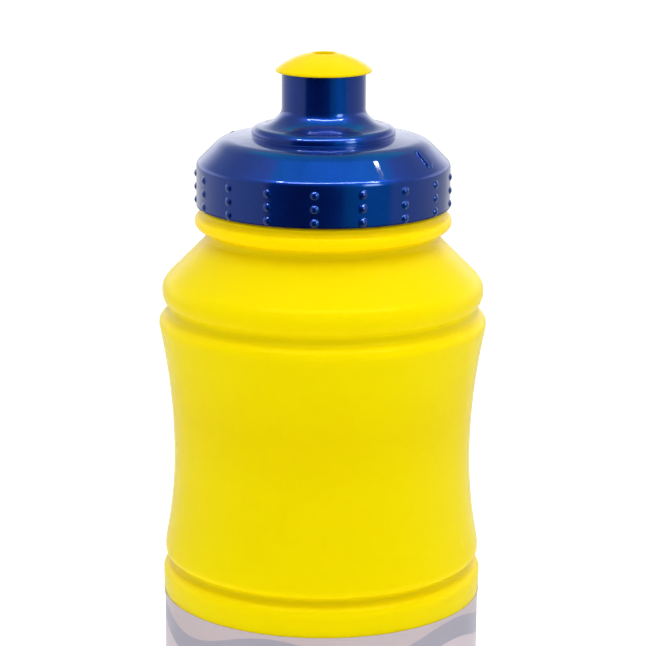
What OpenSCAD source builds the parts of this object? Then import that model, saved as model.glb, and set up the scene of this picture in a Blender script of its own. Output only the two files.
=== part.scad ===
// Squeeze water bottle for a child, with a screw lid and a push-pull spout.
// Millimetres, +Z up. The origin is the centre of the foot, on the surface the bottle stands on.

/* [Body] */
// Height of the lid's lower rim above the foot
rim_z = 148.5; // [140:0.5:170]
// Radius of the lower grip lip and of the band above the foot
band_r = 36.7; // [36.6:0.05:36.9]
// Radius of the upper grip lip, the widest place
lip_r = 37.2; // [37:0.05:37.4]
// Radius at the middle of the waist
waist_r = 34; // [33.8:0.05:34.4]
// Radius of the shoulder
shoulder_r = 36.45; // [36.2:0.05:36.6]
// Radius of the bead under the lid
bead_r = 29; // [28.8:0.05:29.2]
// Thickness of the blown wall
wall = 1.2; // [0.9:0.1:1.4]

/* [Neck and thread] */
// Outside radius of the neck, at the root of its thread
neck_r = 24.6; // [24.4:0.05:24.7]
// Inside radius of the neck
mouth_r = 22.9; // [22.7:0.05:23]
// Height of the neck's rim above the lid's lower rim
neck_h = 9; // [8.8:0.05:9]
// Pitch of the one-start thread
pitch = 4; // [3.6:0.1:4.4]
// Turns of thread on the neck, and in the lid
thread_turns = 1.25; // [1:0.05:1.4]

/* [Lid] */
// Outside radius of the skirt
skirt_r = 28.6; // [28.5:0.05:28.8]
// Height of the shoulder of the lid above its lower rim
roof_z = 15.4; // [15.2:0.05:15.5]
// Thickness of the lid's wall
lid_wall = 1.8; // [1.6:0.05:1.9]
// Outside radius of the stem
stem_r = 9.42; // [9.36:0.02:9.5]
// Height of the stem's end above the lid's lower rim
stem_top = 30.25; // [30:0.05:30.3]
// Columns of grip pimples round the skirt
pimple_columns = 17; // [12:1:20]

/* [Spout] */
// Radius of the spout's head
head_r = 10.75; // [10.6:0.05:10.9]
// Height of the spout's top above the lid's lower rim
head_top = 34.85; // [34.75:0.05:35]
// Radius of the drinking hole
hole_r = 2.6; // [2.2:0.1:2.8]
// How far the spout pulls out
spout_travel = 6; // [4:0.5:6]

/* [Label] */
// Thickness of the printed film
film_t = 0.12; // [0.08:0.02:0.2]

/* [Hidden] */
$fn = 96;

// Foot and lower panel
foot_flat_r = 28.5;
heel_rad = 6;
dome_r = 25;
dome_z = 2.2;
push_up = 4.2;
band_top_z = 14;
lip_depth = 85.5;
lip_low_z = rim_z - lip_depth;
lip_gap = 0.5;
panel_r = band_r - 0.4;
panel_curve = 58;
panel_drop = sqrt(pow(panel_curve, 2) - pow(panel_curve - (band_r - panel_r), 2));

// Rounded rings of the body's outline, each [radius of its centre, height of its centre, own radius].
// They are set by their outermost radius, their depth below the lid's rim, and their own radius.
function ring_at(outer_r, depth, rad) = [outer_r - rad, rim_z - depth, rad];
lower_lip = ring_at(band_r, lip_depth, 2.6);
grip_edge = ring_at(36.2, 79.8, 1.9);
upper_lip = ring_at(lip_r, 26.9, 2.7);
shoulder = ring_at(shoulder_r, 19.3, 4.7);
bead = ring_at(bead_r, 3.4, 1.8);
lip_turn = 8;
low_groove_rad = 1;
high_groove_rad = 1.5;
neck_groove_rad = 1.4;
neck_groove = groove_on_slope(shoulder, bead, neck_groove_rad);
bead_end = 60;
collar_r = 27.6;
collar_top = rim_z - 0.3;
collar_h = 0.9;
collar_cut = 0.3;

// The waist is two shallow curves that meet at its narrowest height
waist_z = rim_z - 57.7;
waist_upper_rad = 147;
waist_lower_rad = 102;
waist_low_gap = 1.8;
waist_join = 2.6;
waist_high_gap = 4;

// Inside, the wall follows the outside up to the bead and then rounds into the neck
cavity_gap = 1.2;
mouth_flare_r = 0.9;
mouth_flare_low = 0.6;
mouth_flare_high = 1;
neck_round = 0.5;

// Thread: width at the root and the crest, and its height on the neck and in the lid
thread_base = 2.2;
thread_tip = 1;
neck_thread_h = 1.15;
lid_bore_r = 26.4;
lid_thread_h = 1.4;
thread_sink = 0.4;
thread_gap = 0.3;
neck_thread_z = rim_z + 1.9;
steps_per_turn = 64;

// Lid. The cone is where radius and height add up to cone_sum. The roof falls a little from the foot
// of the ring to its round edge, square to roof_turn.
cone_sum = 38.35;
rim_round = 0.5;
cone_edge_rad = 1.8;
roof_rad = 5.5;
roof_turn = 85;
bore_cut = 0.4;

// The stem flares in two hollow curves, a tight one and a wide one, down to the crest of the ring
flare_z = 22.18;
flare_rad = 2.7;
flare_turn = 220;
slope_rad = 6.92;
crest_turn = 265;
crest_rad = 1.6;
seat_z = neck_h + 1.65;
seat_out_r = 25.15;
spigot_out_r = 22.3;
spigot_in_r = 21.2;
spigot_z = neck_h - 0.9;
pimple_rows = [1.3, 4.3, 7.3];
pimple_rad = 1.23;
pimple_out = 0.45;
pimple_turn = -3.8;
mark_len = 5.4;
mark_w = 2.4;
mark_out = 0.35;
mark_turn = 60;

// Stem bore, spout and post
bore_r = 7.6;
mouth_cut = 0.3;
catch_r = 6.95;
catch_z = stem_top - 1.9;
shank_r = 6.75;
shank_in_r = 5.2;
shank_low = 17.2;
snap_r = 7.52;
snap_low = 18.3;
snap_rise = 0.7;
snap_cut = 0.2;
snap_top = catch_z - 0.1 - spout_travel;
head_rad = 16.8;
head_low = stem_top + 0.1;
head_under = 0.9;
head_edge_rad = 0.38;
edge_start = -60;
edge_gap = 3;
hole_round = 0.3;
hole_lip = 0.45;
head_roof = 2.2;
head_funnel = 2;
post_r = 1.9;
tip_r = hole_r - 0.08;
tip_low = 31.6;
tip_top = head_top - 1.3;
tip_cone = 0.9;
tip_cut = 0.3;
hub_r = 3.2;
hub_h = 1.6;
hub_top = 2.9;
holder_in_r = 6.1;
holder_low = roof_z - lid_wall;
holder_h = 2.4;
spoke_w = 1.6;
spoke_h = 1.5;
spoke_turn = 30;
spoke_sink = 0.8;
spoke_reach = 0.4;

// The label stands this far off the wall, so that the two only just part, and stops short of both
// ends of the lower panel
film_gap = 0.02;
film_low_gap = 3.2;
film_high_gap = 4.4;

// Gasket
gasket_in_r = 22.6;
gasket_out_r = 24.8;
gasket_gap = 0.05;
gasket_cut = 0.25;

// Points of an arc about (r, z), from angle a0 to a1
function arc(r, z, rad, a0, a1, n) =
    [for (i = [0:n]) let (a = a0 + (a1 - a0) * i / n) [r + rad * cos(a), z + rad * sin(a)]];

// Points of a shallow curve that bulges to radius r at height z, from height z0 to z1.
// A positive rad curves outward, a negative one curves inward.
function bow(r, z, rad, z0, z1, n) =
    [for (i = [0:n]) let (h = z0 + (z1 - z0) * i / n)
        [r - rad + sign(rad) * sqrt(rad * rad - (h - z) * (h - z)), h]];

// The outline moved sideways by d, to the left of its direction of travel
function along(p, i) =
    let (a = p[max(i - 1, 0)], b = p[min(i + 1, len(p) - 1)]) (b - a) / norm(b - a);
function shifted(p, d) =
    [for (i = [0:len(p) - 1]) let (t = along(p, i)) p[i] + d * [-t[1], t[0]]];
function reversed(p) = [for (i = [len(p) - 1:-1:0]) p[i]];

// Points of an arc given as [r, z, rad]
function ring_arc(c, a0, a1, n) = arc(c[0], c[1], c[2], a0, a1, n);

// The groove between two rings: a hollow of radius rad that runs smoothly into both.
// Each ring is [r, z, rad] and the result is the upper ring's end, the hollow and the lower ring's end.
function groove_between(low, high, rad, n) =
    let (to = [high[0] - low[0], high[1] - low[1]],
         d = norm(to),
         a = low[2] + rad,
         b = high[2] + rad,
         x = (a * a - b * b + d * d) / (2 * d),
         h = sqrt(a * a - x * x),
         c = [low[0], low[1]] + x * to / d + h * [to[1], -to[0]] / d,
         low_a = atan2(c[1] - low[1], c[0] - low[0]),
         high_a = atan2(c[1] - high[1], c[0] - high[0]))
    concat(ring_arc(low, -lip_turn, low_a, n), arc(c[0], c[1], rad, low_a + 180, high_a + 180, n));

// Angle on the upper ring at which that groove ends
function groove_end(low, high, rad) =
    let (to = [high[0] - low[0], high[1] - low[1]],
         d = norm(to),
         b = high[2] + rad,
         y = (b * b - pow(low[2] + rad, 2) + d * d) / (2 * d),
         h = sqrt(b * b - y * y),
         c = -y * to / d + h * [to[1], -to[0]] / d)
    atan2(c[1], c[0]);

// The groove where the 45 degree slope above one ring meets the ring over it
function groove_on_slope(low, high, rad) =
    let (slope_sum = low[0] + low[1] + low[2] * sqrt(2),
         k = slope_sum + rad * sqrt(2) - high[1],
         out = (high[0] + k) / 2 + sqrt(pow(high[2] + rad, 2) / 2 - pow((k - high[0]) / 2, 2)))
    [out, slope_sum + rad * sqrt(2) - out, rad];
function angle_to(a, b) = atan2(b[1] - a[1], b[0] - a[0]);

// The body's outer surface, from the middle of the foot up to the top of the collar over the bead
function foot_outline() =
    let (rise = push_up - dome_z, dome = (dome_r * dome_r + rise * rise) / (2 * rise))
    concat(
        [for (i = [0:5]) let (a = asin(dome_r / dome) * i / 5)
            [dome * sin(a), push_up - dome + dome * cos(a)]],
        [[foot_flat_r, 0]]);
function panel_outline(low_z, high_z) = concat(
    bow(band_r, band_top_z, panel_curve, low_z, band_top_z + panel_drop, 4),
    bow(band_r, lip_low_z, panel_curve, lip_low_z - panel_drop, high_z, 4));
function grip_outline() = concat(
    groove_between(lower_lip, grip_edge, low_groove_rad, 5),
    ring_arc(grip_edge, groove_end(lower_lip, grip_edge, low_groove_rad), lip_turn, 6),
    bow(waist_r, waist_z, -waist_lower_rad, grip_edge[1] + waist_low_gap, waist_z, 10),
    bow(waist_r, waist_z, -waist_upper_rad, waist_z + waist_join, upper_lip[1] - waist_high_gap, 12));
function shoulder_outline() = concat(
    groove_between(upper_lip, shoulder, high_groove_rad, 6),
    ring_arc(shoulder, groove_end(upper_lip, shoulder, high_groove_rad), 45, 10),
    ring_arc(neck_groove, 225, angle_to(neck_groove, bead), 10),
    ring_arc(bead, angle_to(neck_groove, bead) - 180, bead_end, 12),
    [[collar_r, collar_top - collar_h],
     [collar_r, collar_top - collar_cut],
     [collar_r - collar_cut, collar_top]]);
function body_outline() = concat(
    foot_outline(),
    arc(band_r - heel_rad, heel_rad, heel_rad, -90, 0, 10),
    panel_outline(band_top_z, lip_low_z - lip_gap),
    grip_outline(),
    shoulder_outline());

// The wall's inner surface, from the middle of the foot up to the inside of the neck
function cavity_outline() = concat(
    [[0, push_up + wall]],
    [for (p = shifted(body_outline(), wall)) if (p[0] > 1 && p[1] < bead[1] - cavity_gap) p],
    [[mouth_r + mouth_flare_r, bead[1] - mouth_flare_low], [mouth_r, bead[1] + mouth_flare_high]]);

// One ring of a thread: root and crest corners at angle a
function thread_ring(a, z, r_root, r_tip, base, tip) = [
    [r_root * cos(a), r_root * sin(a), z - base / 2],
    [r_tip * cos(a), r_tip * sin(a), z - tip / 2],
    [r_tip * cos(a), r_tip * sin(a), z + tip / 2],
    [r_root * cos(a), r_root * sin(a), z + base / 2]];

// A ridge that climbs round the axis and fades out at both ends.
// height is positive for a ridge that stands outward, negative for one that stands inward.
module thread(r, height, z, a0, turns) {
    n = round(turns * steps_per_turn);
    fade = 6;
    least = 0.15;
    sink = thread_sink * sign(height);
    rings = [for (i = [0:n])
        let (a = a0 + 360 * i / steps_per_turn, k = max(least, min(1, i / fade, (n - i) / fade)))
        thread_ring(a, z + pitch * (a - a0) / 360, r - sink, r + height * k, thread_base, thread_tip)];
    points = [for (ring = rings) for (p = ring) p];
    sides = [for (i = [0:n - 1]) for (j = [0:3])
        [4 * i + j, 4 * i + (j + 1) % 4, 4 * i + 4 + (j + 1) % 4, 4 * i + 4 + j]];
    ends = [[3, 2, 1, 0], [for (j = [0:3]) 4 * n + j]];
    faces = concat(sides, ends);
    polyhedron(points, height > 0 ? faces : [for (f = faces) reversed(f)], convexity = 6);
}

module bottle_body() {
    rim = rim_z + neck_h;
    color("gold") {
        rotate_extrude()
            polygon(concat(
                body_outline(),
                [[neck_r, collar_top], [neck_r, rim - neck_round], [neck_r - neck_round, rim],
                 [mouth_r + neck_round, rim], [mouth_r, rim - neck_round]],
                reversed(cavity_outline())));
        thread(neck_r, neck_thread_h, neck_thread_z, 0, thread_turns);
    }
}

module label_film() {
    skin = panel_outline(band_top_z + film_low_gap, lip_low_z - film_high_gap);
    color("silver")
        rotate_extrude()
            polygon(concat(shifted(skin, -film_gap), reversed(shifted(skin, -film_gap - film_t))));
}

module lid_gasket() {
    low = rim_z + neck_h + gasket_gap;
    high = rim_z + seat_z - gasket_gap;
    c = gasket_cut;
    color("white")
        rotate_extrude()
            polygon([[gasket_in_r, low + c], [gasket_in_r + c, low], [gasket_out_r - c, low],
                     [gasket_out_r, low + c], [gasket_out_r, high - c], [gasket_out_r - c, high],
                     [gasket_in_r + c, high], [gasket_in_r, high - c]]);
}

// A ring of radius rad whose centre lies at that distance and angle from the centre of ring c
function away_from(c, angle, distance, rad) =
    [c[0] + distance * cos(angle), c[1] + distance * sin(angle), rad];

// The outside of the lid, from the skirt up over the cone, roof and ring to the stem's mouth
function lid_outline() =
    let (roof_c = roof_z - roof_rad,
         roof_r = cone_sum - roof_c - roof_rad * sqrt(2),
         roof_edge = [roof_r + roof_rad * cos(roof_turn), roof_c + roof_rad * sin(roof_turn)],
         edge_c = cone_sum - (skirt_r - cone_edge_rad) - cone_edge_rad * sqrt(2),
         flare = [stem_r + flare_rad, flare_z, flare_rad],
         slope = away_from(flare, flare_turn, flare_rad - slope_rad, slope_rad),
         crest = away_from(slope, crest_turn, slope_rad + crest_rad, crest_rad),
         foot_r = crest[0] + crest_rad)
    concat(
        [[skirt_r - rim_round, 0]],
        arc(skirt_r - rim_round, rim_round, rim_round, -60, 0, 3),
        arc(skirt_r - cone_edge_rad, edge_c, cone_edge_rad, 0, 45, 6),
        arc(roof_r, roof_c, roof_rad, 45, roof_turn, 7),
        [[foot_r, roof_edge[1] + (roof_edge[0] - foot_r) / tan(roof_turn)]],
        ring_arc(crest, 0, crest_turn - 180, 8),
        ring_arc(slope, crest_turn, flare_turn, 6),
        ring_arc(flare, flare_turn, 180, 7),
        [[stem_r, stem_top - mouth_cut], [stem_r - mouth_cut, stem_top]]);

// The inside of the lid, from the stem's mouth down to the skirt
function lid_cavity() =
    let (inner_sum = cone_sum - lid_wall * sqrt(2), ceiling = roof_z - lid_wall)
    [[catch_r + mouth_cut, stem_top], [catch_r, stem_top - mouth_cut], [catch_r, catch_z],
     [bore_r, catch_z],
     [bore_r, ceiling], [spigot_in_r, ceiling], [spigot_in_r, spigot_z],
     [spigot_out_r, spigot_z], [spigot_out_r, seat_z], [seat_out_r, seat_z],
     [lid_bore_r, inner_sum - lid_bore_r], [lid_bore_r, bore_cut], [lid_bore_r + bore_cut, 0]];

module grip_pimples() {
    for (i = [0:pimple_columns - 1])
        for (z = pimple_rows)
            rotate([0, 0, -90 + pimple_turn + i * 360 / pimple_columns])
                translate([skirt_r + pimple_out - pimple_rad, 0, z])
                    sphere(pimple_rad, $fn = 24);
}

// An oval pad on the cone, standing square to its slope
module alignment_mark(turn) {
    mid_r = 25.4;
    half = mark_len / 2 - mark_w / 2;
    root = 0.6;
    rotate([0, 0, turn])
        translate([mid_r, 0, cone_sum - mid_r])
            rotate([0, 45, 0])
                translate([0, 0, -root])
                    linear_extrude(root + mark_out)
                        polygon(concat(arc(half, 0, mark_w / 2, -90, 90, 10),
                                       arc(-half, 0, mark_w / 2, 90, 270, 10)));
}

module screw_lid() {
    gap_turn = (thread_base + thread_tip) / 2 + thread_gap;
    color("mediumblue")
        translate([0, 0, rim_z]) {
            rotate_extrude() polygon(concat(lid_outline(), lid_cavity()));
            grip_pimples();
            alignment_mark(mark_turn - 90);
            alignment_mark(mark_turn + 90);
            thread(lid_bore_r, -lid_thread_h, neck_thread_z - rim_z - gap_turn + pitch / 2, 180,
                   thread_turns);
        }
}

module valve_post() {
    color("mediumblue")
        translate([0, 0, rim_z]) {
            rotate_extrude()
                polygon([[0, holder_low], [hub_r, holder_low], [hub_r, holder_low + hub_h],
                         [post_r, holder_low + hub_top], [post_r, tip_low],
                         [tip_r, tip_low + tip_cone], [tip_r, tip_top - tip_cut],
                         [tip_r - tip_cut, tip_top], [0, tip_top]]);
            rotate_extrude()
                polygon([[holder_in_r, holder_low], [bore_r, holder_low],
                         [bore_r, holder_low + holder_h], [holder_in_r, holder_low + holder_h]]);
            for (i = [0:2])
                rotate([0, 0, spoke_turn + i * 120])
                    translate([hub_r - spoke_sink, -spoke_w / 2, holder_low])
                        cube([holder_in_r - hub_r + spoke_sink + spoke_reach, spoke_w, spoke_h]);
        }
}

module spout_cap() {
    dome_z = head_top - head_rad;
    rim_a = acos((head_r - head_edge_rad) / (head_rad - head_edge_rad));
    rim_c = dome_z + (head_rad - head_edge_rad) * sin(rim_a);
    hole_a = acos((hole_r + hole_round) / head_rad);
    color("yellow")
        translate([0, 0, rim_z])
            rotate_extrude()
                polygon(concat(
                    [[shank_in_r, shank_low], [shank_r, shank_low], [shank_r, snap_low],
                     [snap_r, snap_low + snap_rise], [snap_r, snap_top - snap_cut],
                     [snap_r - snap_cut, snap_top], [shank_r, snap_top],
                     [shank_r, head_low], [head_r - head_under, head_low]],
                    arc(head_r - head_edge_rad, rim_c, head_edge_rad, edge_start, rim_a, 8),
                    arc(0, dome_z, head_rad, rim_a + edge_gap, hole_a, 12),
                    [[hole_r, head_top - hole_lip], [hole_r, head_top - head_roof],
                     [shank_in_r, head_top - head_roof - head_funnel]]));
}

bottle_body();
label_film();
lid_gasket();
screw_lid();
valve_post();
spout_cap();
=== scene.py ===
"""Looks of a child's squeeze bottle: a blown yellow body, a pearl blue screw lid, a push-pull spout."""
import math

import bpy
import numpy as np
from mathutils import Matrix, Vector


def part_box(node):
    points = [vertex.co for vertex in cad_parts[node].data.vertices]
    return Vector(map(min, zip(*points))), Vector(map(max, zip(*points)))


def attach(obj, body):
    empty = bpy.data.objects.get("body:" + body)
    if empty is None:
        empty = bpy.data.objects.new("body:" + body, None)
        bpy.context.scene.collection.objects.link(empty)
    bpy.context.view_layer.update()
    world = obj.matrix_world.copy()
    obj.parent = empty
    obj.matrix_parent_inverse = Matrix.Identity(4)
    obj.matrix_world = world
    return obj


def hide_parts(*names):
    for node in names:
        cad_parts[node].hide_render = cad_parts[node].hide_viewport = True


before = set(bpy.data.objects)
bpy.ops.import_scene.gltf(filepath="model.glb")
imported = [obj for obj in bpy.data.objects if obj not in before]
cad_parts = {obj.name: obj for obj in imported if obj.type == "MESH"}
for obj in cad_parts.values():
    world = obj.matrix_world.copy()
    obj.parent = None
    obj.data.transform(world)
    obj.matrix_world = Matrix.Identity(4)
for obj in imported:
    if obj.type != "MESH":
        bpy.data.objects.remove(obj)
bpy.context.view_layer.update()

MM = 0.001

# ---------------------------------------------------------------- sizes, in millimetres
# Heights hang from the lid's lower rim, and the large radii come from the body's widest ring
LID_LOW, LID_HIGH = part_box("screw_lid")
FILM_LOW, FILM_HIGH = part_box("label_film")
BODY_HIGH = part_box("bottle_body")[1]
SPOUT_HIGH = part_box("spout_cap")[1]
RIM_Z = LID_LOW.z / MM
LIP_R = BODY_HIGH.x / MM
NECK_TOP = BODY_HIGH.z / MM
STEM_TOP = LID_HIGH.z / MM
HEAD_TOP = SPOUT_HIGH.z / MM

BAND_R = LIP_R - 0.5
WAIST_R = LIP_R - 3.2
SHOULDER_R = LIP_R - 0.75
BEAD_R = 29.0
WALL = 1.2
NECK_R = 24.6
MOUTH_R = 22.9
PITCH = 4.0
THREAD_TURNS = 1.25
THREAD_WIDTH = 2.2
THREAD_CREST = 1.0
THREAD_RUN_OUT = 14


def ring_at(outer_r, depth, rad):
    """A ring of the body's profile (r, z, rad), its centre that deep under the lid's rim."""
    return outer_r - rad, RIM_Z - depth, rad


LOWER_LIP = ring_at(BAND_R, 85.5, 2.6)
GRIP_EDGE = ring_at(36.2, 79.8, 1.9)
UPPER_LIP = ring_at(LIP_R, 26.9, 2.7)
SHOULDER = ring_at(SHOULDER_R, 19.3, 4.7)
BEAD = ring_at(BEAD_R, 3.4, 1.8)
LOW_GROOVE_RAD = 1.0
HIGH_GROOVE_RAD = 1.5
NECK_GROOVE_RAD = 1.4
GROOVE_START = -8
COLLAR_R = 27.6
COLLAR_TOP = RIM_Z - 0.3
WAIST_Z = RIM_Z - 57.7
WAIST_CURVES = (-102, -147)

# The label's panel lies a little inside the two bands, and runs out to each on a shallow curve
LIP_LOW_Z = LOWER_LIP[1]
BAND_TOP_Z = 14.0
PANEL_CURVE = 58.0
PANEL_DEPTH = 0.4
PANEL_REACH = math.sqrt(PANEL_CURVE ** 2 - (PANEL_CURVE - PANEL_DEPTH) ** 2)

SKIRT_R = 28.6
ROOF_Z = 15.4
ROOF_TURN = 85
LID_WALL = 1.8
CONE_SUM = 38.35
STEM_R = 9.42
STEM_H = STEM_TOP - RIM_Z
LID_BORE_R = 26.4


# ---------------------------------------------------------------- profile curves
def arc(ring, a0, a1, step=6.0):
    """Points of an arc of ring (r, z, radius), from angle a0 to a1 in degrees."""
    r, z, rad = ring
    count = max(2, math.ceil(abs(a1 - a0) / step))
    turn = [math.radians(a0 + (a1 - a0) * i / count) for i in range(count + 1)]
    return [(r + rad * math.cos(a), z + rad * math.sin(a)) for a in turn]


def bow(r, z, rad, z0, z1, step=1.5):
    """Points of a shallow curve that reaches radius r at height z. A negative rad curves inward."""
    count = max(2, math.ceil(abs(z1 - z0) / step))
    heights = [z0 + (z1 - z0) * i / count for i in range(count + 1)]
    return [(r - rad + math.copysign(math.sqrt(rad * rad - (h - z) ** 2), rad), h) for h in heights]


def groove(low, high, rad, start):
    """A hollow of radius rad that runs smoothly from ring low into high, and its end angle on high."""
    to = Vector((high[0] - low[0], high[1] - low[1]))
    d = to.length
    a, b = low[2] + rad, high[2] + rad
    x = (a * a - b * b + d * d) / (2 * d)
    h = math.sqrt(a * a - x * x)
    u = to / d
    c = Vector(low[:2]) + x * u + h * Vector((u.y, -u.x))
    low_a = math.degrees(math.atan2(c.y - low[1], c.x - low[0]))
    high_a = math.degrees(math.atan2(c.y - high[1], c.x - high[0]))
    points = arc(low, start, low_a) + arc((c.x, c.y, rad), low_a + 180, high_a + 180, 12)
    return points, high_a


def groove_on_slope(low, high, rad):
    """The hollow ring where the 45 degree slope above one ring meets the ring over it."""
    slope_sum = low[0] + low[1] + low[2] * math.sqrt(2)
    k = slope_sum + rad * math.sqrt(2) - high[1]
    out = (high[0] + k) / 2 + math.sqrt((high[2] + rad) ** 2 / 2 - ((k - high[0]) / 2) ** 2)
    return out, slope_sum + rad * math.sqrt(2) - out, rad


def offset(points, d):
    """The outline moved sideways by d, to the left of its direction of travel."""
    p = np.array(points, float)
    t = np.gradient(p, axis=0)
    t /= np.linalg.norm(t, axis=1)[:, None]
    return [tuple(q) for q in p + d * np.column_stack([-t[:, 1], t[:, 0]])]


def away_from(ring, angle, distance, rad):
    """A ring of radius rad whose centre lies at that distance and angle from the centre of ring."""
    a = math.radians(angle)
    return ring[0] + distance * math.cos(a), ring[1] + distance * math.sin(a), rad


def resample(points, longest, support=0.12):
    """Splits long straight stretches, with a short segment at each end, so that shading stays clean."""
    done = [points[0]]
    for a, b in zip(points, points[1:]):
        a, b = np.array(a, float), np.array(b, float)
        size = np.linalg.norm(b - a)
        if size < 1e-6:
            continue
        if size > longest:
            inner = np.linspace(support / size, 1 - support / size, max(2, math.ceil(size / longest) + 1))
            done += [tuple(a + (b - a) * s) for s in inner]
        done.append(tuple(b))
    return done


# ---------------------------------------------------------------- meshes
def lathe(name, outline, angles, shape=None, closed=False, sharp=38):
    """Turns an outline (r, z) in mm round the axis. shape moves the grid's points before it is built."""
    rows = np.array(outline, float)
    a = np.radians(np.array(angles, float))
    r = np.repeat(rows[:, 0][:, None], len(a), 1)
    z = np.repeat(rows[:, 1][:, None], len(a), 1)
    turn = np.repeat(a[None, :], len(rows), 0)
    if shape:
        r, z = shape(r, z, turn)
    grid = np.stack([r * np.sin(turn), -r * np.cos(turn), z], -1) * MM
    verts, faces = [], []
    index = np.zeros((len(rows), len(a)), int)
    for i in range(len(rows)):
        if rows[i, 0] < 1e-4:
            index[i, :] = len(verts)
            verts.append((0.0, 0.0, float(grid[i, 0, 2])))
        else:
            index[i, :] = np.arange(len(verts), len(verts) + len(a))
            verts.extend(map(tuple, grid[i]))
    last = len(rows) if closed else len(rows) - 1
    for i in range(last):
        k = (i + 1) % len(rows)
        for j in range(len(a)):
            m = (j + 1) % len(a)
            quad = [index[i, j], index[i, m], index[k, m], index[k, j]]
            corners = [q for n, q in enumerate(quad) if q != quad[n - 1]]
            if len(corners) > 2:
                faces.append([int(q) for q in corners])
    return new_mesh(name, verts, faces, sharp)


def new_mesh(name, verts, faces, sharp=38):
    """A smooth shaded object of those points and faces, with edges sharper than that kept crisp."""
    mesh = bpy.data.meshes.new(name)
    mesh.from_pydata(verts, [], faces)
    mesh.validate()
    obj = bpy.data.objects.new(name, mesh)
    bpy.context.scene.collection.objects.link(obj)
    mesh.polygons.foreach_set("use_smooth", [True] * len(mesh.polygons))
    mesh.set_sharp_from_angle(angle=math.radians(sharp))
    mesh.update()
    return obj


def columns(base, clusters):
    """Angles round the axis in degrees: base evenly, and finer fans (centre, half width, count)."""
    even = np.linspace(-180, 180, base, endpoint=False)
    fans = []
    for centre, half, count in clusters:
        away = np.abs((even - centre + 180) % 360 - 180)
        even = even[away > half + 180 / base]
        fans.append(centre + np.linspace(-half, half, count))
    every = np.concatenate([even, *fans]) if fans else even
    return np.unique(np.round((every + 180) % 360 - 180, 4))


def turn_from(a, centre):
    """Signed angle in radians from a direction given in degrees."""
    return (a - math.radians(centre) + math.pi) % (2 * math.pi) - math.pi


def cap_height(distance, ball, proud):
    """Height of a ball that stands proud of a flat face, at that distance from its middle."""
    base = np.sqrt(ball * ball - (ball - proud) ** 2)
    inside = np.sqrt(np.clip(ball * ball - np.minimum(distance, base) ** 2, 0, None)) - (ball - proud)
    return np.where(distance < base, inside, 0)


def thread_height(z, a, start_z, start_deg, height):
    """Height of a one-start thread ridge over its root, at height z and angle a round the axis."""
    first = math.radians(start_deg)
    best = np.zeros_like(z)
    around = (a - first) % (2 * math.pi)
    for lap in range(math.ceil(THREAD_TURNS) + 1):
        turned = around + 2 * math.pi * lap
        share = turned / (2 * math.pi * THREAD_TURNS)
        off = np.abs(z - (start_z + PITCH * turned / (2 * math.pi)))
        flank = np.clip((THREAD_WIDTH / 2 - off) / (THREAD_WIDTH / 2 - THREAD_CREST / 2), 0, 1)
        ends = np.clip(np.minimum(share, 1 - share) * THREAD_RUN_OUT, 0, 1)
        best = np.maximum(best, height * flank * ends)
    return best


# ---------------------------------------------------------------- body
# The foot, pushed up in the middle, and the traces of the mould: a line up each side, a pinch below
FOOT_FLAT_R = 28.5
HEEL_RAD = 6.0
DOME_R = 25.0
DOME_Z = 2.2
DOME_STEPS = 14
PUSH_UP = 4.2
PARTING = (90.0, -90.0)
PARTING_WIDTH = 0.22
PARTING_HEIGHT = 0.07
PINCH_HEIGHT = 0.35
# The top: the bead under the lid, the collar that the lid covers, and the threaded neck
BEAD_END = 60
COLLAR_EDGE = 0.3
NECK_EDGE = 0.5
NECK_THREAD_Z = 1.9
NECK_THREAD_START = 90
NECK_THREAD_HEIGHT = 1.15


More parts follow.
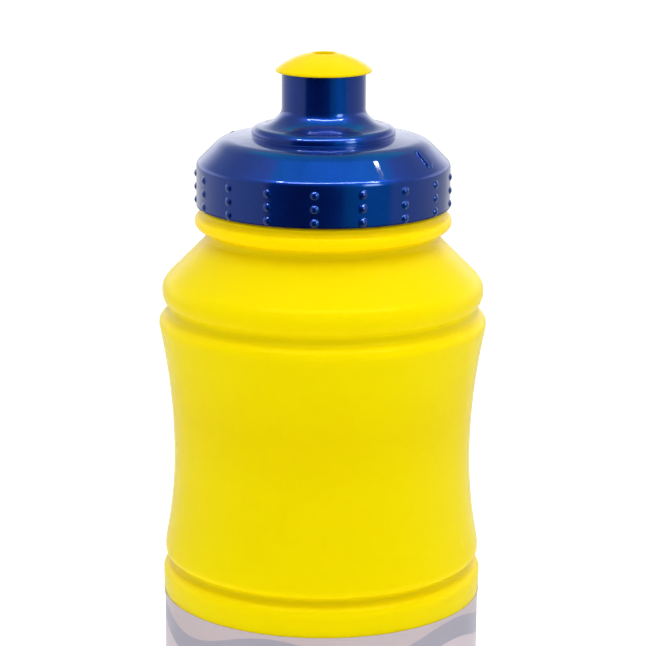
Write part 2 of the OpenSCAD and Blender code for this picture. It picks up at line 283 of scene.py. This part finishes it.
def body_rows():
    """The body's outline: up the outside from the middle of the foot, then down the inside."""
    rise = PUSH_UP - DOME_Z
    ball = (DOME_R ** 2 + rise ** 2) / (2 * rise)
    reach = math.asin(DOME_R / ball)
    turns = [reach * i / DOME_STEPS for i in range(DOME_STEPS + 1)]
    dome = [(ball * math.sin(t), PUSH_UP - ball + ball * math.cos(t)) for t in turns]
    foot = dome + [(FOOT_FLAT_R, 0.0)] + arc((BAND_R - HEEL_RAD, HEEL_RAD, HEEL_RAD), -90, 0)
    panel = (bow(BAND_R, BAND_TOP_Z, PANEL_CURVE, BAND_TOP_Z, BAND_TOP_Z + PANEL_REACH)
             + bow(BAND_R, LIP_LOW_Z, PANEL_CURVE, LIP_LOW_Z - PANEL_REACH, LIP_LOW_Z - 0.5))
    low_groove, low_end = groove(LOWER_LIP, GRIP_EDGE, LOW_GROOVE_RAD, GROOVE_START)
    waist = (bow(WAIST_R, WAIST_Z, WAIST_CURVES[0], GRIP_EDGE[1] + 1.8, WAIST_Z)
             + bow(WAIST_R, WAIST_Z, WAIST_CURVES[1], WAIST_Z + 1.5, UPPER_LIP[1] - 4))
    high_groove, high_end = groove(UPPER_LIP, SHOULDER, HIGH_GROOVE_RAD, GROOVE_START)
    neck_groove = groove_on_slope(SHOULDER, BEAD, NECK_GROOVE_RAD)
    bead_side = math.degrees(math.atan2(BEAD[1] - neck_groove[1], BEAD[0] - neck_groove[0]))
    collar = [(COLLAR_R, COLLAR_TOP - 3 * COLLAR_EDGE), (COLLAR_R, COLLAR_TOP - COLLAR_EDGE),
              (COLLAR_R - COLLAR_EDGE, COLLAR_TOP)]
    outer = (foot + panel + low_groove + arc(GRIP_EDGE, low_end, 8) + waist + high_groove
             + arc(SHOULDER, high_end, 45) + arc(neck_groove, 225, bead_side, 8)
             + arc(BEAD, bead_side - 180, BEAD_END, 8) + collar)
    # The inside follows the outside up to the bead, with fewer rows, and then the mouth's bore
    inner = [(0.0, PUSH_UP + WALL)]
    inner += [p for p in offset(outer, WALL) if p[0] > 1 and p[1] < BEAD[1] - 1.2][::3]
    inner += [(MOUTH_R + 0.9, BEAD[1] - 0.6), (MOUTH_R, BEAD[1] + 1)]
    thread_rows = resample([(NECK_R, COLLAR_TOP), (NECK_R, NECK_TOP - NECK_EDGE)], 0.28)
    neck = thread_rows + [(NECK_R - 0.15, NECK_TOP - 0.15), (NECK_R - NECK_EDGE, NECK_TOP),
                          (MOUTH_R + NECK_EDGE, NECK_TOP), (MOUTH_R, NECK_TOP - NECK_EDGE)]
    return resample(outer, 1.6), neck, inner[::-1]


def shape_body(r, z, a):
    """Neck thread, the faint line of the mould's parting, and the pinch-off under the foot."""
    on_neck = (r > NECK_R - 0.02) & (r < NECK_R + 0.02) & (z > RIM_Z)
    ridge = thread_height(z, a, RIM_Z + NECK_THREAD_Z, NECK_THREAD_START, NECK_THREAD_HEIGHT)
    outside = np.zeros_like(r, bool)
    outside[:OUTER_ROWS] = True
    edge_r = DOME_R - 1
    seam = np.zeros_like(r)
    for centre in PARTING:
        away = np.abs(turn_from(a, centre)) * r
        seam = np.maximum(seam, np.clip(1 - (away / PARTING_WIDTH) ** 2, 0, 1))
    side = outside & (r > FOOT_FLAT_R + 2)
    under = outside & (r <= edge_r) & (z < PUSH_UP + 0.5) & (r > 0.01)
    r = r + np.where(on_neck, ridge, 0) + np.where(side, seam * PARTING_HEIGHT, 0)
    z = z - np.where(under, seam * PINCH_HEIGHT * np.clip((edge_r - r) / 4, 0, 1), 0)
    return r, z


outer_rows, neck_rows, inner_rows = body_rows()
OUTER_ROWS = len(outer_rows)
body_angles = columns(224, [(c, 0.9, 13) for c in PARTING])
body = lathe("blown_body", outer_rows + neck_rows + inner_rows, body_angles, shape_body)
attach(body, "bottle")
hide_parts("bottle_body")


# ---------------------------------------------------------------- lid
# Grip pimples: caps of small balls in columns round the skirt, their heights from the lid's rim
PIMPLE_COLUMNS = 17
PIMPLE_TURN = -3.8
PIMPLE_ROWS = (1.3, 4.3, 7.3)
PIMPLE_BALL = 1.23
PIMPLE_PROUD = 0.45
PIMPLE_REACH = np.linspace(-1.1, 1.1, 14)
PIMPLE_ANGLES = [(PIMPLE_TURN + i * 360 / PIMPLE_COLUMNS + 180) % 360 - 180
                 for i in range(PIMPLE_COLUMNS)]
# Two raised oval marks on the cone, opposite each other
MARK_ANGLES = (60.0, -120.0)
MARK_MID_R = 25.4
MARK_LENGTH = 5.4
MARK_WIDTH = 2.4
MARK_PROUD = 0.35
MARK_WALL = 0.12
MARK_ROWS = np.linspace(MARK_MID_R + 2.0, MARK_MID_R - 0.75, 19)
# Outside: the rim, the skirt's upper edge, the roof's edge, and the stem with the ring at its foot
RIM_RAD = 0.5
EDGE_RAD = 1.8
ROOF_RAD = 5.5
FLARE_RAD, FLARE_TURN, FLARE_Z = 2.7, 220, 22.18
SLOPE_RAD = 6.92
CREST_RAD, CREST_TURN = 1.6, 265
# Inside: the stem's mouth with its step, the plug ring that goes into the neck, and the gasket's seat
STEP_H = 1.9
STEP_BORE_R = 6.95
STEM_BORE_R = 7.6
PLUG_IN_R, PLUG_OUT_R, PLUG_LOW = 21.2, 22.3, 8.1
SEAT_R, SEAT_Z = 25.15, 10.65
LID_THREAD_START = -90
LID_THREAD_HEIGHT = 1.4


def lid_rows():
    """The lid's outline: up the outside from the rim to the stem's mouth, then down the inside."""
    flare = (STEM_R + FLARE_RAD, FLARE_Z, FLARE_RAD)
    slope = away_from(flare, FLARE_TURN, FLARE_RAD - SLOPE_RAD, SLOPE_RAD)
    crest = away_from(slope, CREST_TURN, SLOPE_RAD + CREST_RAD, CREST_RAD)
    roof_c = ROOF_Z - ROOF_RAD
    roof_r = CONE_SUM - roof_c - ROOF_RAD * math.sqrt(2)
    edge_c = CONE_SUM - (SKIRT_R - EDGE_RAD) - EDGE_RAD * math.sqrt(2)
    skirt = [(SKIRT_R - RIM_RAD, 0.0)] + arc((SKIRT_R - RIM_RAD, RIM_RAD, RIM_RAD), -60, 0, 15)
    for row in PIMPLE_ROWS:
        skirt += [(SKIRT_R, row + dz) for dz in PIMPLE_REACH]
    skirt += arc((SKIRT_R - EDGE_RAD, edge_c, EDGE_RAD), 0, 45, 5)
    cone = arc((roof_r, roof_c, ROOF_RAD), 45, ROOF_TURN, 2)
    foot_r = crest[0] + CREST_RAD
    foot_z = cone[-1][1] + (cone[-1][0] - foot_r) / math.tan(math.radians(ROOF_TURN))
    ring = [(foot_r + 0.08, foot_z), (foot_r, foot_z + 0.08)] + arc(crest, 0, CREST_TURN - 180, 6)
    stem = (arc(slope, CREST_TURN, FLARE_TURN, 3) + arc(flare, FLARE_TURN, 180, 5)
            + [(STEM_R, STEM_H - 0.3), (STEM_R - 0.1, STEM_H - 0.1), (STEM_R - 0.3, STEM_H)])
    mark_slope = [(r, CONE_SUM - r) for r in MARK_ROWS]
    outer = resample(skirt + mark_slope + cone + ring + stem, 0.38, 0.06)
    ceiling = ROOF_Z - LID_WALL
    step_z = STEM_H - STEP_H
    bore_top = CONE_SUM - LID_WALL * math.sqrt(2) - LID_BORE_R
    inner = [(STEP_BORE_R + 0.3, STEM_H), (STEP_BORE_R, STEM_H - 0.3), (STEP_BORE_R, step_z),
             (STEM_BORE_R, step_z), (STEM_BORE_R, ceiling),
             (PLUG_IN_R, ceiling), (PLUG_IN_R, PLUG_LOW), (PLUG_OUT_R, PLUG_LOW), (PLUG_OUT_R, SEAT_Z),
             (SEAT_R, SEAT_Z), (LID_BORE_R, bore_top), (LID_BORE_R, 0.4), (LID_BORE_R + 0.4, 0.0)]
    inner = resample(inner, 0.5, 0.1)
    return [(r, z + RIM_Z) for r, z in outer], [(r, z + RIM_Z) for r, z in inner]


def shape_lid(r, z, a):
    """Grip pimples on the skirt, the two oval marks on the cone, and the thread inside."""
    h = z - RIM_Z
    outside = np.zeros_like(r, bool)
    outside[:LID_OUTER] = True
    on_skirt = outside & (r > SKIRT_R - 0.01) & (h < 9.2)
    pimple = np.zeros_like(r)
    for centre in PIMPLE_ANGLES:
        across = turn_from(a, centre) * SKIRT_R
        for row in PIMPLE_ROWS:
            ball = cap_height(np.hypot(across, h - row), PIMPLE_BALL, PIMPLE_PROUD)
            pimple = np.maximum(pimple, ball)
    proud = np.zeros_like(r)
    for centre in MARK_ANGLES:
        across = turn_from(a, centre) * MARK_MID_R
        down = (r - MARK_MID_R) * math.sqrt(2)
        half = (MARK_LENGTH - MARK_WIDTH) / 2
        away = np.hypot(across, np.maximum(np.abs(down) - half, 0))
        proud = np.maximum(proud, np.clip((MARK_WIDTH / 2 - away) / MARK_WALL, 0, 1))
    on_cone = outside & (h > 9.0) & (h < ROOF_Z) & (r > 20)
    push = np.where(on_cone, proud * MARK_PROUD * math.sqrt(0.5), 0)
    in_bore = ~outside & (np.abs(r - LID_BORE_R) < 0.02)
    ridge = thread_height(z, a, RIM_Z + PITCH / 2, LID_THREAD_START, LID_THREAD_HEIGHT)
    r = r + np.where(on_skirt, pimple, 0) + push - np.where(in_bore, ridge, 0)
    return r, z + push


lid_outer, lid_inner = lid_rows()
LID_OUTER = len(lid_outer)
lid_fans = [(c, 2.3, 14) for c in PIMPLE_ANGLES] + [(c, 3.1, 44) for c in MARK_ANGLES]
lid = lathe("pearl_lid", lid_outer + lid_inner, columns(150, lid_fans), shape_lid, closed=True)
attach(lid, "lid")
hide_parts("screw_lid")


# ---------------------------------------------------------------- spout
# A domed head over a shank, with a wider snap bead low on the shank that holds it in the stem
HEAD_R = 10.75
HEAD_RAD = 16.8
HEAD_EDGE = 0.38
HOLE_R = 2.6
SHANK_LOW = 17.2
SHANK_R = 6.75
SHANK_BORE_R = 5.2
SNAP_R = 7.52
SNAP_GAP = 0.1
TRAVEL = 6


def spout_rows():
    """The spout's outline: up the outside of the shank, over the head, and down inside the hole."""
    top = HEAD_TOP - RIM_Z
    head_low = STEM_H + 0.1
    dome_z = top - HEAD_RAD
    rim_r, rim_reach = HEAD_R - HEAD_EDGE, HEAD_RAD - HEAD_EDGE
    rim_a = math.degrees(math.acos(rim_r / rim_reach))
    rim_z = dome_z + rim_reach * math.sin(math.radians(rim_a))
    hole_a = math.degrees(math.acos((HOLE_R + 0.3) / HEAD_RAD))
    snap_top = STEM_H - STEP_H - SNAP_GAP - TRAVEL
    shank = [(SHANK_BORE_R, SHANK_LOW), (SHANK_R, SHANK_LOW), (SHANK_R, SHANK_LOW + 1.1),
             (SNAP_R, SHANK_LOW + 1.8), (SNAP_R, snap_top - 0.2), (SNAP_R - 0.2, snap_top),
             (SHANK_R, snap_top), (SHANK_R, head_low), (HEAD_R - 0.9, head_low)]
    hole = [(HOLE_R + 0.12, top - 0.2), (HOLE_R, top - 0.45), (HOLE_R, top - 2.2),
            (SHANK_BORE_R, top - 4.2)]
    rows = (resample(shank, 0.6) + arc((rim_r, rim_z, HEAD_EDGE), -60, rim_a, 12)
            + arc((0, dome_z, HEAD_RAD), rim_a + 2, hole_a, 2) + resample(hole, 0.6))
    return [(r, z + RIM_Z) for r, z in rows]


spout = lathe("spout", spout_rows(), columns(128, []), closed=True)
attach(spout, "spout")
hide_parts("spout_cap")


# ---------------------------------------------------------------- label
# A wrapped film, in millimetres, with its seam at the back
LABEL_LOW_Z = FILM_LOW.z / MM
LABEL_HIGH_Z = FILM_HIGH.z / MM
FILM_GAP = 0.02
FILM_T = 0.12
SEAM_ANGLE = 176.0
SEAM_OVERLAP = 7.0
SEAM_EDGE = 0.6


def label_rows():
    """The film's outline from its lower edge to its upper one, close along the panel."""
    low, high = BAND_TOP_Z + PANEL_REACH, LIP_LOW_Z - PANEL_REACH
    return (bow(BAND_R, BAND_TOP_Z, PANEL_CURVE, LABEL_LOW_Z, low, 1.2)
            + [(BAND_R - PANEL_DEPTH, z) for z in np.linspace(low + 1.5, high - 1.5, 20)]
            + bow(BAND_R, LIP_LOW_Z, PANEL_CURVE, high, LABEL_HIGH_Z, 1.2))


def make_label():
    """A film wrapped once round the lower panel, its end lapped over its start at the back."""
    rows = np.array(label_rows())
    lap_start = 360 - SEAM_OVERLAP
    sweep = np.concatenate([np.linspace(0, lap_start, 220),
                            np.linspace(lap_start, 360 + SEAM_OVERLAP, 24)[1:]])
    rise = np.clip((sweep - lap_start) / (SEAM_OVERLAP - SEAM_EDGE), 0, 1)
    rise = rise * rise * (3 - 2 * rise)
    angles = np.radians(SEAM_ANGLE + sweep)
    inner = rows[:, 0][:, None] + FILM_GAP + rise[None, :] * (FILM_T + 0.02)
    high, wide = inner.shape
    count = high * wide
    heights = np.repeat(rows[:, 1][:, None], wide, 1)
    sides = [np.stack([r * np.sin(angles), -r * np.cos(angles), heights], -1)
             for r in (inner + FILM_T, inner)]
    points = np.concatenate([side.reshape(-1, 3) for side in sides]) * MM
    faces = []
    for i in range(high - 1):
        for j in range(wide - 1):
            quad = [i * wide + j, i * wide + j + 1, (i + 1) * wide + j + 1, (i + 1) * wide + j]
            faces.append(quad)
            faces.append([q + count for q in reversed(quad)])
    for j in range(wide - 1):
        low, top = j, (high - 1) * wide + j
        faces.append([low + 1, low, low + count, low + 1 + count])
        faces.append([top, top + 1, top + 1 + count, top + count])
    for i in range(high - 1):
        start, end = i * wide, i * wide + wide - 1
        faces.append([start, start + wide, start + wide + count, start + count])
        faces.append([end + wide, end, end + count, end + wide + count])
    return new_mesh("wrap_label", [tuple(p) for p in points], faces)


label = make_label()
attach(label, "bottle")
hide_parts("label_film")


# ---------------------------------------------------------------- materials
def material(name):
    """A new material, its node tree and its main shader."""
    mat = bpy.data.materials.new(name)
    mat.use_nodes = True
    tree = mat.node_tree
    return mat, tree, tree.nodes["Principled BSDF"]


def plug(tree, socket, value):
    """Gives a socket its value, or a link from the output of another node."""
    if isinstance(value, bpy.types.NodeSocket):
        tree.links.new(value, socket)
    else:
        socket.default_value = value


def node(tree, kind, settings=None, **inputs):
    """Adds a shader node. Inputs are given by name, or by number as i0, i1 and so on."""
    made = tree.nodes.new(kind)
    for key, value in (settings or {}).items():
        setattr(made, key, value)
    for key, value in inputs.items():
        numbered = key[0] == "i" and key[1:].isdigit()
        plug(tree, made.inputs[int(key[1:]) if numbered else key.replace("_", " ")], value)
    return made


def ramp(tree, factor, stops, interpolation="LINEAR"):
    """A colour ramp with stops (place, colour)."""
    made = node(tree, "ShaderNodeValToRGB", i0=factor)
    made.color_ramp.interpolation = interpolation
    elements = made.color_ramp.elements
    while len(elements) < len(stops):
        elements.new(0.5)
    for element, (place, colour) in zip(elements, stops):
        element.position = place
        element.color = (*colour, 1)
    return made.outputs[0]


def noise(tree, coords, scale, detail=2.0, rough=0.5):
    return node(tree, "ShaderNodeTexNoise",
                Vector=coords, Scale=scale, Detail=detail, Roughness=rough).outputs[0]


def remap(tree, value, a, b, c, d):
    """Takes a..b to c..d, and holds at the ends."""
    return node(tree, "ShaderNodeMapRange", i0=value, i1=a, i2=b, i3=c, i4=d).outputs[0]


def bump(tree, height, distance, normal=None):
    """Roughens the shading by that depth in metres, over an earlier bump if one is given."""
    made = node(tree, "ShaderNodeBump", Height=height, Distance=distance, Strength=1.0)
    if normal:
        tree.links.new(normal, made.inputs["Normal"])
    return made.outputs[0]


def mix(tree, factor, a, b):
    """Blends two colours, each a plain one or the output of another node."""
    made = node(tree, "ShaderNodeMix", {"data_type": "RGBA"}, i0=factor)
    for socket, value in ((made.inputs[6], a), (made.inputs[7], b)):
        plug(tree, socket, value if isinstance(value, bpy.types.NodeSocket) else (*value, 1))
    return made.outputs[2]


def math_node(tree, operation, *values):
    """The output of a Math node. Each value is a number or the output of another node."""
    made = tree.nodes.new("ShaderNodeMath")
    made.operation = operation
    for socket, value in zip(made.inputs, values):
        plug(tree, socket, value)
    return made.outputs[0]


# Painted shade: the colour is darkened in a belt round the waist, where the body looks shaded
SHADE_BELT_Z = RIM_Z - 46.0
SHADE_BELT_HALF = 13.0
SHADE_BELT_DEPTH = 0.06
# Depths of the bumps, in metres
PEEL_DEPTH = 0.000015
GRAIN_DEPTH = 0.000003
RIPPLE_DEPTH = 0.00002
# Each colour wanders between two
YELLOW = ((0.95, 0.635, 0.0), (0.97, 0.655, 0.0))
SPOUT_YELLOW = ((0.84, 0.53, 0.0), (0.86, 0.55, 0.0))
PEARL = ((0.0015, 0.032, 0.27), (0.002, 0.038, 0.30))
PEARL_FLAKE = (0.006, 0.09, 0.50)
SILICONE = ((0.80, 0.80, 0.78), (0.88, 0.88, 0.86))
# The print, from the label's lower edge: where each band starts, and its colour
PRINT_BANDS = [(0.0, (0.30, 0.16, 0.20)), (0.22, (0.45, 0.26, 0.27)), (0.42, (0.62, 0.42, 0.38)),
               (0.60, (0.56, 0.48, 0.52)), (0.80, (0.34, 0.32, 0.38)), (0.92, (0.50, 0.42, 0.44))]
WAVES_AROUND = 5.0
WAVE_HEIGHT = 0.0022


def yellow_plastic(name, low, high, rough, sss):
    """Satin polyethylene: slight unevenness of colour between low and high, a belt of painted shade round
    the waist, orange peel, rub marks.
    """
    mat, tree, bsdf = material(name)
    coords = node(tree, "ShaderNodeTexCoord").outputs["Object"]
    cloud = noise(tree, coords, 28.0, 3.0)
    even = mix(tree, remap(tree, cloud, 0.35, 0.65, 0, 1), low, high)
    up = node(tree, "ShaderNodeSeparateXYZ", Vector=coords).outputs[2]
    away = math_node(tree, "ABSOLUTE", math_node(tree, "SUBTRACT", up, SHADE_BELT_Z * MM))
    painted_shade_belt = remap(tree, away, 0.0, SHADE_BELT_HALF * MM, SHADE_BELT_DEPTH, 0)
    # Painted shade: the base colour is pulled toward black in the belt round the waist
    tree.links.new(mix(tree, painted_shade_belt, even, (0.0, 0.0, 0.0)), bsdf.inputs["Base Color"])
    drawn_out = node(tree, "ShaderNodeMapping", Vector=coords, Scale=(1, 1, 0.25)).outputs[0]
    rubs = noise(tree, drawn_out, 420.0, 4.0, 0.65)
    tree.links.new(remap(tree, rubs, 0.3, 0.75, rough - 0.02, rough + 0.03), bsdf.inputs["Roughness"])
    peel = bump(tree, noise(tree, coords, 260.0), PEEL_DEPTH)
    fine = bump(tree, noise(tree, coords, 1500.0), GRAIN_DEPTH, peel)
    tree.links.new(fine, bsdf.inputs["Normal"])
    bsdf.inputs["Subsurface Weight"].default_value = sss
    bsdf.inputs["Subsurface Radius"].default_value = (1.0, 0.7, 0.05)
    bsdf.inputs["Subsurface Scale"].default_value = 0.006
    bsdf.inputs["IOR"].default_value = 1.5
    bsdf.inputs["Specular IOR Level"].default_value = 0.12
    bsdf.inputs["Specular Tint"].default_value = (1.0, 0.82, 0.05, 1)
    return mat


def pearl_plastic(name):
    """Dark blue pearl plastic under a clear skin: fine flakes, a slow flow of tone, and hairline rubs."""
    mat, tree, bsdf = material(name)
    coords = node(tree, "ShaderNodeTexCoord").outputs["Object"]
    flow = noise(tree, coords, 60.0, 4.0, 0.6)
    flakes = node(tree, "ShaderNodeTexVoronoi", Vector=coords, Scale=5200.0).outputs["Color"]
    glint = node(tree, "ShaderNodeSeparateColor", i0=flakes).outputs[0]
    deep = mix(tree, remap(tree, flow, 0.35, 0.65, 0, 1), *PEARL)
    colour = mix(tree, remap(tree, glint, 0.75, 1.0, 0, 0.25), deep, PEARL_FLAKE)
    tree.links.new(colour, bsdf.inputs["Base Color"])
    bsdf.inputs["Metallic"].default_value = 0.94
    rubs = noise(tree, coords, 300.0, 3.0)
    tree.links.new(remap(tree, rubs, 0.3, 0.7, 0.33, 0.42), bsdf.inputs["Roughness"])
    bsdf.inputs["Coat Weight"].default_value = 1.0
    bsdf.inputs["Coat Roughness"].default_value = 0.04
    bsdf.inputs["Coat IOR"].default_value = 1.5
    tree.links.new(bump(tree, noise(tree, coords, 90.0), RIPPLE_DEPTH), bsdf.inputs["Coat Normal"])
    return mat


def rubber(name):
    """White silicone with a fine matt grain."""
    mat, tree, bsdf = material(name)
    coords = node(tree, "ShaderNodeTexCoord").outputs["Object"]
    grain = noise(tree, coords, 700.0, 3.0)
    tree.links.new(mix(tree, grain, *SILICONE), bsdf.inputs["Base Color"])
    tree.links.new(remap(tree, grain, 0.3, 0.7, 0.5, 0.62), bsdf.inputs["Roughness"])
    tree.links.new(bump(tree, grain, RIPPLE_DEPTH), bsdf.inputs["Normal"])
    return mat


def printed_film(name):
    """Generic print: bands of greys and dusty pinks, their edges soft waves round the bottle."""
    mat, tree, bsdf = material(name)
    coords = node(tree, "ShaderNodeTexCoord").outputs["Object"]
    x, y, z = node(tree, "ShaderNodeSeparateXYZ", Vector=coords).outputs
    around = math_node(tree, "ARCTAN2", x, math_node(tree, "MULTIPLY", y, -1.0))
    swing = math_node(tree, "SINE", math_node(tree, "MULTIPLY", around, WAVES_AROUND))
    lift = math_node(tree, "MULTIPLY_ADD", swing, WAVE_HEIGHT, z)
    place = remap(tree, lift, LABEL_LOW_Z * MM, LABEL_HIGH_Z * MM, 0, 1)
    tree.links.new(ramp(tree, place, PRINT_BANDS, "CONSTANT"), bsdf.inputs["Base Color"])
    bsdf.inputs["Roughness"].default_value = 0.28
    return mat


pearl = pearl_plastic("pearl_blue")
body.data.materials.append(yellow_plastic("satin_yellow", *YELLOW, rough=0.25, sss=0.6))
spout.data.materials.append(yellow_plastic("spout_yellow", *SPOUT_YELLOW, rough=0.24, sss=0.5))
lid.data.materials.append(pearl)
label.data.materials.append(printed_film("printed_film"))


def refinish(node_name, mat, sharp=30):
    """Gives a CAD part its finish. Its faces are joined again, and shaded smooth up to that angle."""
    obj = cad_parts[node_name]
    obj.data.materials.clear()
    obj.data.materials.append(mat)
    weld = obj.modifiers.new("weld", "WELD")
    weld.merge_threshold = 0.00001
    split = obj.modifiers.new("edges", "EDGE_SPLIT")
    split.split_angle = math.radians(sharp)
    obj.data.polygons.foreach_set("use_smooth", [True] * len(obj.data.polygons))


refinish("valve_post", pearl)
refinish("lid_gasket", rubber("white_silicone"))


# ---------------------------------------------------------------- stage, light and camera, in metres
FLOOR_HALF = 6
floor = new_mesh("floor", [(-FLOOR_HALF, -FLOOR_HALF, 0), (FLOOR_HALF, -FLOOR_HALF, 0),
                           (FLOOR_HALF, FLOOR_HALF, 0), (-FLOOR_HALF, FLOOR_HALF, 0)], [(0, 1, 2, 3)])
floor.location.z = -0.0002
floor.visible_glossy = False
floor_mat, _, floor_bsdf = material("pale_floor")
floor_bsdf.inputs["Base Color"].default_value = (0.8, 0.8, 0.8, 1)
floor_bsdf.inputs["Roughness"].default_value = 0.9
floor_bsdf.inputs["Specular IOR Level"].default_value = 0.0
floor_bsdf.inputs["Emission Color"].default_value = (1, 1, 1, 1)
floor_bsdf.inputs["Emission Strength"].default_value = 0.4
floor.data.materials.append(floor_mat)

# What gloss surfaces see: pale walls with a dark opening in front and a blue-green stretch to its
# right, a window in that stretch, and a blue-green ceiling. The walls go by azimuth from the front
AROUND = [(-180, (0.75, 0.77, 0.80)), (-150, (0.75, 0.77, 0.80)), (-135, (0.50, 0.54, 0.58)),
          (-100, (0.44, 0.50, 0.54)), (-55, (0.38, 0.46, 0.52)), (-47, (0.002, 0.004, 0.06)),
          (15, (0.002, 0.004, 0.06)), (20, (0.0, 0.30, 0.34)), (60, (0.0, 0.30, 0.34)),
          (66, (0.26, 0.44, 0.50)), (95, (0.40, 0.46, 0.52)), (122, (0.40, 0.46, 0.52)),
          (138, (0.48, 0.52, 0.56)), (152, (0.75, 0.77, 0.80)), (180, (0.75, 0.77, 0.80))]
# Behind, the wall is bright low down and dims upward, between two sines of elevation
BACK_WALL = (1.25, 1.28, 1.38)
HIGH_WALL = (0.28, 0.36, 0.48)
HIGH_WALL_Z = (0.17, 0.44)
PANEL = (0.09, 0.62, 0.68)
PANEL_SIDE = (0.10, 0.74, 0.80)
# The ceiling, in units of its height: x across it, and how far each edge lies from overhead
CEILING = [(-0.50, PANEL_SIDE), (-0.34, PANEL_SIDE), (-0.26, PANEL), (0.22, PANEL), (0.32, PANEL_SIDE),
           (0.70, PANEL_SIDE)]
CEILING_LEFT = -0.50
CEILING_RIGHT = 0.69
CEILING_FRONT = -0.66
CEILING_BACK = 1.1
CEILING_SOFT = 0.05
WINDOW = (6.0, 8.0, 7.0)
WINDOW_AZ = (38, 52)
WINDOW_EL = (2, 26)
FILL = (0.80, 0.80, 0.80)


def box_mask(tree, spans, soft):
    """1 where each angle lies in its span in degrees, with soft edges, else 0."""
    mask = 1.0
    for angle, (low, high) in spans:
        for edge, side in ((low, soft), (high, -soft)):
            part = remap(tree, angle, math.radians(edge - side), math.radians(edge + side), 0, 1)
            mask = math_node(tree, "MULTIPLY", mask, part)
    return mask


def make_world():
    """White to the camera, even light for matt surfaces, and the walls and ceiling above for gloss."""
    world = bpy.data.worlds.new("studio")
    bpy.context.scene.world = world
    world.use_nodes = True
    tree = world.node_tree
    tree.nodes.clear()
    coords = node(tree, "ShaderNodeTexCoord").outputs["Generated"]
    x, y, z = node(tree, "ShaderNodeSeparateXYZ", Vector=coords).outputs
    turn = math_node(tree, "ARCTAN2", x, math_node(tree, "MULTIPLY", y, -1.0))
    round_place = remap(tree, turn, -math.pi, math.pi, 0, 1)
    around = ramp(tree, round_place, [((a + 180) / 360, c) for a, c in AROUND])
    above = math_node(tree, "MAXIMUM", z, 0.05)
    side = math_node(tree, "DIVIDE", x, above)
    depth = math_node(tree, "DIVIDE", y, above)
    inside = 1.0
    for value, edge, soft in ((side, CEILING_LEFT, CEILING_SOFT), (side, CEILING_RIGHT, -CEILING_SOFT),
                              (depth, CEILING_BACK, -CEILING_SOFT), (depth, CEILING_FRONT, CEILING_SOFT)):
        part = remap(tree, value, edge - soft, edge + soft, 0, 1)
        inside = math_node(tree, "MULTIPLY", inside, part)
    rise = math_node(tree, "ARCSINE", z)
    window = box_mask(tree, ((turn, WINDOW_AZ), (rise, WINDOW_EL)), 3)
    back = math_node(tree, "MULTIPLY", remap(tree, y, 0.0, 0.4, 0, 1), remap(tree, z, 0.0, 0.05, 0, 1))
    behind = mix(tree, remap(tree, z, *HIGH_WALL_Z, 0, 1), BACK_WALL, HIGH_WALL)
    walls = mix(tree, back, mix(tree, window, around, WINDOW), behind)
    panel = ramp(tree, remap(tree, side, -1, 1, 0, 1), [((place + 1) / 2, c) for place, c in CEILING])
    seen = mix(tree, inside, walls, panel)
    path = node(tree, "ShaderNodeLightPath")
    lit = mix(tree, path.outputs["Is Glossy Ray"], FILL, seen)
    final = mix(tree, path.outputs["Is Camera Ray"], lit, (1.0, 1.0, 1.0))
    shade = node(tree, "ShaderNodeBackground", Color=final, Strength=1.0)
    out = tree.nodes.new("ShaderNodeOutputWorld")
    tree.links.new(shade.outputs[0], out.inputs[0])


TARGET = Vector((0, 0, RIM_Z * MM))


def area(name, place, size, watts, glossy):
    """A rectangular lamp, placed from the lid and aimed at it, that lights gloss only or the rest only."""
    data = bpy.data.lights.new(name, "AREA")
    data.shape = "RECTANGLE"
    data.size, data.size_y = size
    data.energy = watts
    obj = bpy.data.objects.new(name, data)
    bpy.context.scene.collection.objects.link(obj)
    obj.location = TARGET + Vector(place)
    obj.rotation_euler = (TARGET - obj.location).to_track_quat("-Z", "Y").to_euler()
    obj.visible_glossy = glossy
    obj.visible_diffuse = not glossy
    return obj


make_world()
# The gloss lamps hang at the ceiling's edges, as seen from the lid
UP = 0.60
area("front_hem", (0.055, -0.37, UP), (0.84, 0.05), 3.6, True)
area("left_hem", (-0.37, -0.31, UP), (0.05, 0.12), 0.8, True)
area("right_hem", (0.48, -0.29, UP), (0.05, 0.16), 0.9, True)
right_lamp = area("right_lamp", (0.358, 0.023, 0.620), (0.035, 0.004), 0.03, True)
right_lamp.rotation_euler.rotate_axis("Z", math.radians(-48))
area("top_light", (0.08, -0.12, 0.65), (0.7, 0.7), 4.3, False)

CAMERA_BACK = 0.5458
CAMERA_UP = 0.10405
CAMERA_PITCH = 13.546
CAMERA_ROLL = 0.30
CAMERA_ASIDE = 0.00008
CAMERA_LENS = 137.1
CAMERA_SENSOR = 36
camera_data = bpy.data.cameras.new("camera")
camera_data.lens = CAMERA_LENS
camera_data.sensor_width = CAMERA_SENSOR
camera_data.clip_start = 0.01
camera = bpy.data.objects.new("camera", camera_data)
bpy.context.scene.collection.objects.link(camera)
camera.location = (CAMERA_ASIDE, -CAMERA_BACK, RIM_Z * MM + CAMERA_UP)
camera.rotation_euler = (math.radians(90 - CAMERA_PITCH), 0, 0)
camera.rotation_euler.rotate_axis("Z", math.radians(CAMERA_ROLL))
bpy.context.scene.camera = camera
bpy.context.scene.view_settings.view_transform = "Standard"
